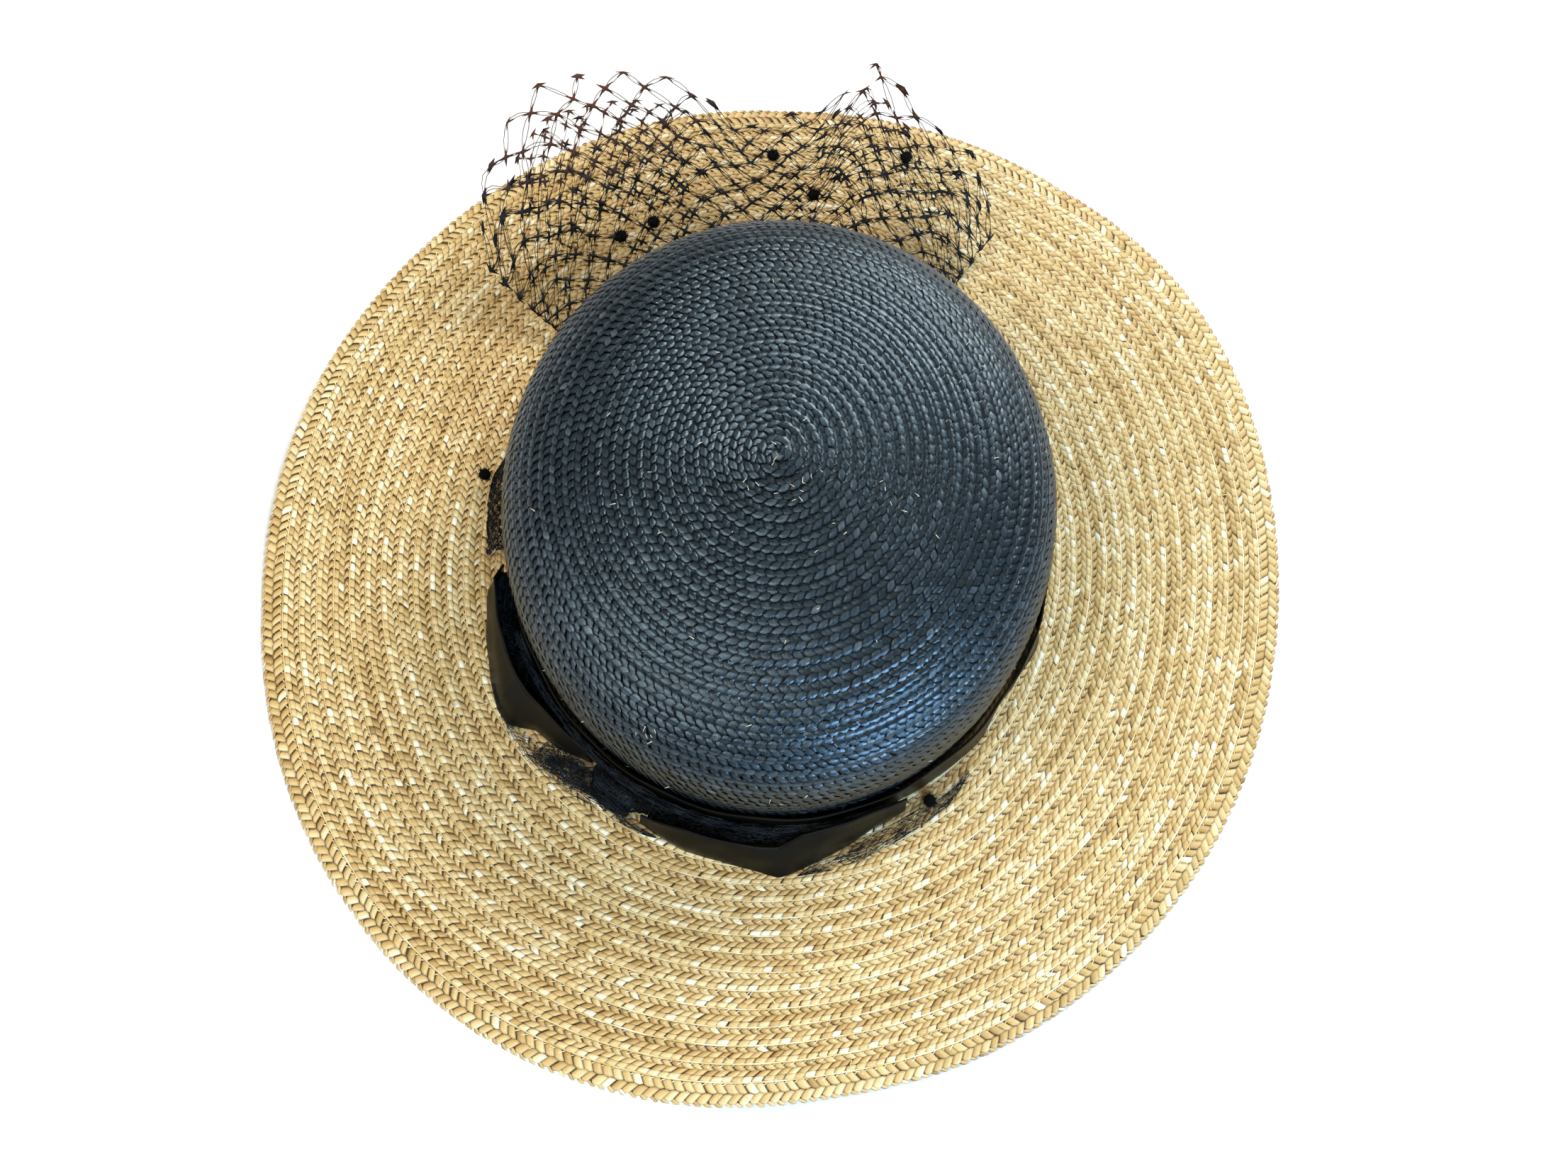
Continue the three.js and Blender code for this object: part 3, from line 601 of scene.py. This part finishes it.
def brim_tiles(name, rows, side, cells):
    """The braid of some rows of the brim, on its upper side (1) or its lower side (-1)."""
    def surface(n, turn):
        return brim_surface(n, turn, side)

    bunch = Bunch()
    for row in rows:
        centre, step = around(surface, row, BRIM_PITCH, chance.random())
        columns = EDGE_COLUMNS if row == BRIM_ROWS - 1 else BRIM_COLUMNS
        for k, col in enumerate(columns):
            column(bunch, surface, centre + 0.5 * (k % 2) * step, step, row, col, cells, side)
        if side > 0 and row > 0:
            column(bunch, surface, centre + 0.3 * step, step, row, TEETH, 1)
        if side > 0 and row < BRIM_ROWS - 1:
            ridge(bunch, row, int(len(centre) * 0.9))
    bunch.done(name, straw_material, "straw_natural")


INNER_ROWS = 10
brim_tiles("brim_braid_inner", range(0, INNER_ROWS), 1, 3)
brim_tiles("brim_braid_outer", range(INNER_ROWS, BRIM_ROWS), 1, 3)
brim_tiles("brim_braid_under", range(0, BRIM_ROWS), -1, 2)


def shell(name, surface, rows, top, bottom, steps, material, slot, replaces):
    """A closed thin shell under the braid. The brim's has a hole, and the crown's is closed at both ends."""
    holed = surface is brim_surface
    n, turn = np.meshgrid(rows, np.linspace(0, TAU, steps, endpoint=False), indexing="ij")
    upper = surface(n, turn)
    lower = surface(n, turn, -1) if holed else upper
    normal = normals(surface, n, turn)
    normal = normal * np.sign(normal[..., 2:3].mean())
    verts = np.vstack([(upper + normal * top).reshape(-1, 3), (lower + normal * bottom).reshape(-1, 3)])
    half = len(rows) * steps
    last = half - steps
    faces = []
    for i in range(0, last, steps):
        for j in range(steps):
            a, b = i + j, i + (j + 1) % steps
            faces.append((a, a + steps, b + steps, b))
            faces.append((half + b, half + b + steps, half + a + steps, half + a))
    for j in range(steps):
        k = (j + 1) % steps
        faces.append((last + j, half + last + j, half + last + k, last + k))
        if holed:
            faces.append((k, half + k, half + j, j))
    if not holed:
        faces.append(tuple(range(steps)))
        faces.append(tuple(range(half + steps - 1, half - 1, -1)))
    # The shell takes the darkest tone, a painted shade that shows in the gaps between the splints.
    tone = np.zeros(len(verts))
    grain = np.stack([99 + verts[:, 0] * 0.3, verts[:, 1] * 0.3, verts[:, 2]], 1)
    make(name, verts, faces, material, slot, tone, grain, replaces=replaces)


shell("brim_core", brim_surface, np.linspace(0.05, 15.93, 31), -0.95, 0.85, 180,
      straw_material, "straw_natural", ["brim"])

# The crown's braid, one spiral from the middle of its top. The tables are like the brim's.
CROWN_COLUMNS = [
    dict(q0=-0.02, q1=0.50, long=0.95, slant=0.30, h0=-0.92, h1=-0.40, dome=0.15, tilt=0.46, tone=0.42,
         vary=0.12, odd=0.015, bright=0.78, patch=0.5, taper=0.42, shade_to_tip=0.12),
    dict(q0=0.45, q1=0.99, long=0.94, slant=-0.30, h0=-0.30, h1=-0.46, dome=0.18, tilt=0.44, tone=0.54,
         vary=0.13, odd=0.02, bright=0.82, patch=0.5, taper=0.42, shade_to_tip=0.12),
]
CROWN_PITCH = 3.3
TOP_ROWS = 20
CROWN_ROWS = int(ARC[-1] / CROWN_ROW) - 1


def crown_tiles(name, first, last, side, cells, deep=0.0):
    """The crown's braid between two rows, on its outside (1) or its inside (-1)."""
    bunch = Bunch()
    centre, step = winding(crown_surface, first, last, CROWN_PITCH)
    for k, col in enumerate(CROWN_COLUMNS):
        col = dict(col, h0=col["h0"] + deep, h1=col["h1"] + deep)
        column(bunch, crown_surface, centre + 0.5 * k * step, step, 0, col, cells, side, True)
    bunch.done(name, navy_material, "straw_dark")


crown_tiles("crown_braid_top", -0.6, TOP_ROWS, 1, 3)
crown_tiles("crown_braid_wall", TOP_ROWS, CROWN_ROWS, 1, 3)
crown_tiles("crown_braid_inside", 0, CROWN_ROWS, -1, 2, 2.15)
shell("crown_core", crown_surface, np.linspace(0.02, ARC[-1] / CROWN_ROW, 40), -1.25, -1.5, 120,
      navy_material, "straw_dark", ["crown"])


def slivers(name, surface, places, tone, long, thick):
    """Thin broken ends of straw that stand off the braid, in pale straw; on the dark crown the pale colour
    is a painted glint.
    """
    verts, faces = [], []
    for k, (n, turn) in enumerate(places):
        base = surface(np.array(n), np.array(turn))
        normal = normals(surface, np.array([n]), np.array([turn]))[0]
        side = np.cross(normal, chance.normal(0, 1, 3))
        side /= np.linalg.norm(side)
        size = long * (0.5 + chance.random())
        a = base - normal * 0.25
        b = base + side * size + normal * (0.15 + 0.5 * chance.random())
        w = np.cross(normal, side) * thick
        verts += [a - w, a + w, b + w * 0.4, b - w * 0.4, (a + b) / 2 + normal * 0.18]
        i = 5 * k
        faces += [(i, i + 1, i + 4), (i + 1, i + 2, i + 4), (i + 2, i + 3, i + 4), (i + 3, i, i + 4)]
    tone = np.repeat(np.clip(tone + 0.1 * chance.normal(0, 1, len(places)), 0, 1), 5)
    make(name, verts, faces, straw_material, "straw_natural", tone, np.asarray(verts) * 0.3 + [99, 0, 0])


# The crown's broken straw ends are painted pale, as painted glints on the dark braid.
spots = [(34 * chance.random() ** 0.8, TAU * chance.random()) for i in range(110)]
spots += [(2.6 + 0.9 * chance.random(), -1.6 + 0.7 * chance.normal()) for i in range(9)]
spots += [(19.5 + 1.2 * chance.random(), math.radians(246) + 0.03 * chance.normal()) for i in range(6)]
slivers("crown_glinting_slivers", crown_surface, spots, 1.0, 1.2, 0.10)
spots = [(15.8 * chance.random() ** 0.7, TAU * chance.random()) for i in range(420)]
slivers("brim_slivers", brim_surface, spots, 0.85, 2.2, 0.16)


def ribbon(name, at, nu, nv, closed, replaces, crease):
    """A creased ribbon on a surface, with thicker edges, and its length in metres."""
    u = np.linspace(0, 1, nu + (0 if closed else 1), endpoint=not closed)
    uu, vv = np.meshgrid(u, np.linspace(0, 1, nv + 1), indexing="ij")
    step = 1e-3

    def beside(shift):
        return at((uu + shift) % 1 if closed else np.clip(uu + shift, 0, 1), vv)

    du = beside(step) - beside(-step)
    dv = at(uu, np.clip(vv + step, 0, 1)) - at(uu, np.clip(vv - step, 0, 1))
    normal = np.cross(du, dv)
    normal /= np.linalg.norm(normal, axis=-1, keepdims=True)
    mid = at(uu, vv) + normal * crease(uu, vv)[..., None]
    edge = 0.16 * np.exp(-((np.minimum(vv, 1 - vv) / 0.045) ** 2))
    away = normal * (0.22 + edge)[..., None]
    verts = np.vstack([(mid + away).reshape(-1, 3), (mid - away).reshape(-1, 3)])
    wide = nv + 1
    total = len(u) * wide
    faces = []
    for i in range(nu):
        a, b = i * wide, (i + 1) % len(u) * wide
        for j in range(nv):
            quad = (a + j, b + j, b + j + 1, a + j + 1)
            faces.append(quad)
            faces.append(tuple(total + x for x in reversed(quad)))
        faces.append((b, a, total + a, total + b))
        faces.append((a + nv, b + nv, total + b + nv, total + a + nv))
    if not closed:
        for j in range(nv):
            e = nu * wide + j
            faces.append((j, j + 1, total + j + 1, total + j))
            faces.append((e + 1, e, total + e, total + e + 1))
    line = at(u, np.full(len(u), 0.5)) * MM
    if closed:
        line = np.vstack([line, line[:1]])
    long = float(np.linalg.norm(np.diff(line, axis=0), axis=1).sum())
    flat = np.stack([uu * long / MM, vv * RIBBON_WIDTH, 0 * uu], -1).reshape(-1, 3)
    obj = make(name, verts, faces, satin_material, "ribbon_satin", grain=np.vstack([flat, flat]),
               replaces=replaces)
    return obj, long


def band_crease(u, v):
    return 0.22 * np.sin(u * 130 + 3 * v) * (0.4 + 0.6 * v) + 0.15 * np.sin(u * 47 - 4 * v)


def fold_crease(broad, broad_lean, fine, fine_lean):
    """Broad waves that fade at a fold's edges, and fine ones."""
    def crease(u, v):
        wave = 0.35 * np.sin(u * broad + broad_lean * v) * np.sin(math.pi * v)
        return wave + 0.12 * np.sin(u * fine - fine_lean * v)
    return crease


band, band_long = ribbon("satin_band", band_at, 420, 10, True, ["ribbon_band"], band_crease)
fold_left, left_long = ribbon("satin_fold_left", fold_at(FOLD_LEFT), 110, 14, False, ["ribbon_fold_left"],
                              fold_crease(9, 5, 31, 7))
fold_front, front_long = ribbon("satin_fold_front", fold_at(FOLD_FRONT), 120, 14, False,
                                ["ribbon_fold_front"], fold_crease(8, 4, 27, 6))

# The height in millimetres above which the standing veil is painted brown, a painted backlight on its high
# edge.
BACKLIGHT_FROM = 34


class Threads:
    """Collects the threads and knots of a net into one mesh."""

    def __init__(self, backlight_brown=0.0):
        self.verts, self.faces, self.tone, self.count, self.backlight_brown = [], [], [], 0, backlight_brown

    def add(self, points, over, most):
        """Adds points. Their painted backlight, a brown, reaches its full strength over some millimetres of
        height.
        """
        self.verts.append(points.reshape(-1, 3))
        self.tone.append(self.backlight_brown * np.clip((self.verts[-1][:, 2] - BACKLIGHT_FROM) / over, 0, most))
        self.count += len(self.verts[-1])

    def thread(self, path, radius):
        """Several thin three-sided threads at once. path: threads x points x 3."""
        k, m = path.shape[:2]
        along = unit(np.gradient(path, axis=1))
        side = unit(np.cross(along, [0.13, 0.2, 1.0]))
        rise = np.cross(side, along)
        angle = TAU * np.arange(3)[:, None] / 3
        ring = side[:, :, None] * np.cos(angle) + rise[:, :, None] * np.sin(angle)
        base = self.count + (np.arange(k)[:, None] * m + np.arange(m - 1)[None]) * 3
        for s in range(3):
            a, b = base + s, base + (s + 1) % 3
            self.faces.append(np.stack([a, b, b + 3, a + 3], -1).reshape(-1, 4))
        self.add(path[:, :, None] + radius * ring, 40, 0.6)

    def knots(self, centres, arms, normal, radius):
        """Small dark stars where the threads are tied. arms: knots x 4 x 3, unit vectors."""
        k = len(centres)
        size = radius * (1 + 0.3 * chance.random((k, 1)))
        ring = []
        for i in range(4):
            ring.append(centres + arms[:, i] * size * 2.5)
            ring.append(centres + (arms[:, i] + arms[:, (i + 1) % 4]) * size * 0.42)
        points = np.stack(ring + [centres + normal * size * 0.7, centres - normal * size * 0.7], 1)
        start = self.count + np.arange(k)[:, None] * 10
        for i in range(8):
            j = (i + 1) % 8
            self.faces.append(np.hstack([start + i, start + j, start + 8, start + 8]))
            self.faces.append(np.hstack([start + j, start + i, start + 9, start + 9]))
        self.add(points, 20, 1)

    def done(self, name, **more):
        quads = np.vstack(self.faces).tolist()
        faces = [q if q[2] != q[3] else q[:3] for q in quads]
        tone = np.concatenate(self.tone)
        make(name, np.vstack(self.verts), faces, net_material, "veil_net", tone, **more)


def netting(threads, at, columns, rows, radius, knot, loose=0.35, double=True, bow=0.7, torn=0.0):
    """Diamond net on a surface: single or doubled threads between tied knots."""
    ii, jj = np.meshgrid(np.arange(2 * columns + 1), np.arange(2 * rows + 1), indexing="ij")
    keep = (ii + jj) % 2 == 1
    u = ii / (2 * columns) + loose * 0.22 / columns * chance.normal(0, 1, ii.shape)
    v = jj / (2 * rows) + loose * 0.22 / rows * chance.normal(0, 1, ii.shape)
    u, v = np.clip(u, 0, 1), np.clip(v, 0, 1)
    place = at(u, v)
    starts, ends = [], []
    for di in (1, -1):
        i2, j2 = ii + di, jj + 1
        ok = keep & (i2 >= 0) & (i2 <= 2 * columns) & (j2 <= 2 * rows)
        starts.append(np.stack([ii[ok], jj[ok]], 1))
        ends.append(np.stack([i2[ok], j2[ok]], 1))
    starts, ends = np.vstack(starts), np.vstack(ends)
    whole = (chance.random(len(ends)) > torn) | (ends[:, 1] < 2 * rows - 1)
    starts, ends = tuple(starts[whole].T), tuple(ends[whole].T)
    t = np.linspace(0, 1, 5)[None, :]
    us, ue = u[starts][:, None], u[ends][:, None]
    vs, ve = v[starts][:, None], v[ends][:, None]
    on = at(np.clip(us + (ue - us) * t, 0, 1), np.clip(vs + (ve - vs) * t, 0, 1))
    swell = (4 * t * (1 - t))[..., None]
    away = unit(np.cross(place[ends] - place[starts], UP))
    for sign in ((1, -1) if double else (1,)):
        bend = (0.5 + 0.8 * chance.random(len(away))) * sign * bow
        lift = UP * chance.normal(0, 0.25, (len(away), 1, 1))
        threads.thread(on + swell * (away * bend[:, None])[:, None] + swell * lift, radius)
    centres = place[keep]
    arms = []
    for di, dj in ((1, 1), (-1, 1), (-1, -1), (1, -1)):
        i2, j2 = np.clip(ii + di, 0, 2 * columns), np.clip(jj + dj, 0, 2 * rows)
        arms.append(unit(place[i2, j2][keep] - centres, 1e-6))
    arms = np.stack(arms, 1)
    threads.knots(centres, arms, unit(np.cross(arms[:, 0], arms[:, 1]), 1e-6), knot)


# The standing veil: two layers of net, and two bunched places where more of it lies together.
pouf = Threads(backlight_brown=1.0)
netting(pouf, veil_at, 16, 8, 0.15, 1.2, torn=0.2, bow=0.8)
netting(pouf, lambda u, v: veil_at(u, v, 0.72, 0.97), 13, 6, 0.12, 1.1, torn=0.3, bow=1.0)
for low, top, cells in ((0.6, 0.88, 8), (0.1, 0.34, 6)):
    netting(pouf, lambda u, v: veil_at(low + (top - low) * u, 0.5 + 0.46 * v, 0.92, 0.97),
            cells, 4, 0.1, 0.95, torn=0.3, double=False)
pouf.done("net_pouf", replaces=["veil_pouf"])


def curls(threads, at, count, size, radius):
    """Loose curling threads over a surface."""
    u, v = chance.random((count, 1)), chance.random((count, 1))
    t = np.linspace(0, 1, 9)[None]
    a, b = chance.random((count, 1)) * TAU, chance.normal(0, 2.2, (count, 1))
    du, dv = size * np.cos(a + b * t) * t, size * 2.5 * np.sin(a + b * t) * t
    path = at(np.clip(u + du, 0, 1), np.clip(v + dv, 0, 1))
    path = path + UP * (1.2 * chance.random((count, 1, 1)) * np.sin(math.pi * t)[..., None])
    threads.thread(path, radius)


def lifted(at, share, height):
    """A surface made lower by a share, then lifted."""
    return lambda u, v: at(u, v) * [1, 1, share] + [0, 0, height]


left_wrap = Threads()
at_left = wrap_at(WRAP_LEFT)
netting(left_wrap, at_left, 13, 4, 0.11, 0.5, 0.6, bow=0.4)
netting(left_wrap, lifted(at_left, 0.8, 1.2), 11, 3, 0.11, 0.5, 0.8, bow=0.4)
curls(left_wrap, at_left, 45, 0.16, 0.1)
left_wrap.done("net_gathered_left", replaces=["veil_wrap_left"])

front_wrap = Threads()
at_front = wrap_at(WRAP_FRONT)
netting(front_wrap, at_front, 24, 4, 0.12, 0.5, 0.7, bow=0.4)
netting(front_wrap, lifted(at_front, 0.8, 1.4), 22, 4, 0.12, 0.5, 0.9, bow=0.4)
netting(front_wrap, lifted(at_front, 0.5, 3.4), 20, 3, 0.12, 0.5, 0.9, bow=0.5)
curls(front_wrap, at_front, 300, 0.12, 0.12)
front_wrap.done("net_gathered_front", replaces=["veil_wrap_front"])


def tangle(threads, first, last, near, far, high, count, radius, curl=2.2):
    """Loose curling threads over the brim, between two distances from the crown and below a height."""
    def one(low, top):
        return low + (top - low) * chance.random((count, 1))

    t = np.linspace(0, 1, 11)[None]
    deg = one(first, last) + one(-7, 7) * t + one(0.5, curl) * np.sin(TAU * (one(0.6, 2.2) * t + one(0, 1)))
    deg = np.clip(deg, first, last)
    share = one(0, 1) ** 0.8 + one(0.05, 0.25) * np.sin(TAU * (one(0.8, 2.4) * t + one(0, 1)))
    share = np.clip(share, 0, 1)
    height = high * (one(0, 1) + 0.35 * np.sin(TAU * (one(0.5, 1.6) * t + one(0, 1))))
    height = np.clip(height, 0.25, high)
    away = near(deg) + (far(deg, height) - near(deg)) * share
    threads.thread(over_brim(np.radians(deg), away, height), radius)


def close(deg):
    return beside_band(deg) - 0.2


def behind(rows):
    """How far the space behind a fold reaches, at a height."""
    def reach(deg, height):
        start, foot, head, tall = fold_edges(rows, deg)
        return np.maximum(start, foot + (head - foot) * np.clip(height / tall, 0, 1) - 1.0)
    return reach


loose_net = Threads()
tangle(loose_net, 190, 231, close, behind(FOLD_LEFT), 10, 620, 0.13)
tangle(loose_net, 247, 292, close, behind(FOLD_FRONT), 10, 620, 0.13)
tangle(loose_net, 204, 291, close, lambda deg, height: close(deg) + 2.4, 15.5, 650, 0.12, 3)
loose_net.done("net_tangle_behind")

# Frayed net outside the folds and the gathered net: degrees, and how far out it starts or ends.
FRINGE_IN = [(208, 17.2), (213, 17.6), (218, 16.8), (222, 14.5), (226, 10), (231, 8), (236, 8),
             (246, 12.6), (250, 13)]
FRINGE_OUT = [(208, 18.6), (213, 20.5), (218, 21.8), (224, 21.5), (230, 19), (238, 16), (246, 15),
              (250, 13.6)]
WISPS_IN = [(272, 16.5), (277, 12), (282, 9.5), (288, 7.8), (293, 7), (300, 6.5), (308, 6)]
WISPS_OUT = [(272, 17.5), (277, 17), (282, 16), (288, 14.5), (293, 13.5), (300, 12.5), (308, 9)]


def fringe_in(deg):
    return look(FRINGE_IN, deg, 1) + 0.6


def fringe_out(deg, height):
    return np.maximum(fringe_in(deg), look(FRINGE_OUT, deg, 1))


fringe = Threads()
tangle(fringe, 209, 249, fringe_in, fringe_out, 3.2, 120, 0.08)
tangle(fringe, 224, 243, lambda deg: fringe_in(deg) - 1,
       lambda deg, height: fringe_out(deg, height) - 2, 6, 170, 0.1)
tangle(fringe, 273, 307, lambda deg: look(WISPS_IN, deg, 1) + 1.2,
       lambda deg, height: look(WISPS_OUT, deg, 1), 2.6, 110, 0.08)
fringe.done("net_fringe")

# The chenille dots: a rough ball, in millimetres, with hairs on it.
HAIRS = 520
BALL_RADIUS = 2.05
BALL_ROWS, BALL_COLUMNS = 10, 16


def tuft(name, centre, replaces):
    d = chance.normal(0, 1, (HAIRS, 3))
    d /= np.linalg.norm(d, axis=1, keepdims=True)
    side = np.cross(d, chance.normal(0, 1, (HAIRS, 3)))
    side /= np.linalg.norm(side, axis=1, keepdims=True)
    inner, outer = 1.4, 2.2 + 0.7 * chance.random((HAIRS, 1))
    tip = (d + 0.25 * chance.normal(0, 1, (HAIRS, 3))) * outer
    hairs = np.stack([d * inner + side * 0.16, d * inner - side * 0.16, tip], 1).reshape(-1, 3)
    faces = [(3 * i, 3 * i + 1, 3 * i + 2) for i in range(HAIRS)]
    lat, lon = np.meshgrid(np.linspace(0.05, math.pi - 0.05, BALL_ROWS),
                           np.arange(BALL_COLUMNS) * TAU / BALL_COLUMNS, indexing="ij")
    reach = BALL_RADIUS + 0.12 * chance.normal(0, 1, lat.shape)
    ball = np.stack([np.sin(lat) * np.cos(lon), np.sin(lat) * np.sin(lon), np.cos(lat)], -1)
    ball = ball * reach[..., None]
    for i in range(BALL_ROWS - 1):
        start = len(hairs) + i * BALL_COLUMNS
        for j in range(BALL_COLUMNS):
            a, b = start + j, start + (j + 1) % BALL_COLUMNS
            faces.append((a, a + BALL_COLUMNS, b + BALL_COLUMNS, b))
    verts = np.vstack([hairs, ball.reshape(-1, 3)]) + centre
    make(name, verts, faces, chenille_material, "veil_dot", replaces=replaces)


for i in range(1, 8):
    low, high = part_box(f"veil_dot_{i}")
    middle = (np.array(low) + np.array(high)) / 2 / MM
    tuft(f"tuft_{i}", middle, [f"veil_dot_{i}"])

# The floor, a little under the hat, and the lights.
FLOOR_HALF, FLOOR_LEVEL = 4, -0.0003
floor_material, floor_tree, floor_shader = nodes_of("floor")
floor_shader.inputs["Base Color"].default_value = (0.8, 0.8, 0.8, 1)
floor_shader.inputs["Roughness"].default_value = 0.9
floor_mesh = bpy.data.meshes.new("floor")
corners = [(x * FLOOR_HALF, y * FLOOR_HALF, FLOOR_LEVEL) for x, y in ((-1, -1), (1, -1), (1, 1), (-1, 1))]
floor_mesh.from_pydata(corners, [], [(0, 1, 2, 3)])
floor_mesh.materials.append(floor_material)
floor = bpy.data.objects.new("floor", floor_mesh)
bpy.context.scene.collection.objects.link(floor)
floor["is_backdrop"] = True


def area(name, place, size, power, colour):
    """A round light that aims at the middle of the hat."""
    light = bpy.data.lights.new(name, "AREA")
    light.shape, light.size, light.energy, light.color = "DISK", size, power, colour
    obj = bpy.data.objects.new(name, light)
    bpy.context.scene.collection.objects.link(obj)
    obj.location = place
    obj.rotation_euler = (-Vector(place)).to_track_quat("-Z", "Y").to_euler()


area("key", (0.37, -0.93, 0.70), 0.36, 16, (0.50, 0.74, 1.0))
area("window", (0.75, 0.85, 1.0), 0.7, 20, (1.0, 0.96, 0.88))
area("fill", (-0.9, -0.2, 1.1), 1.0, 14.5, (1.0, 0.94, 0.85))
world = bpy.data.worlds.new("world")
bpy.context.scene.world = world
world.use_nodes = True
world.node_tree.nodes["Background"].inputs["Color"].default_value = (1, 1, 1, 1)
world.node_tree.nodes["Background"].inputs["Strength"].default_value = 0.35

low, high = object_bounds()
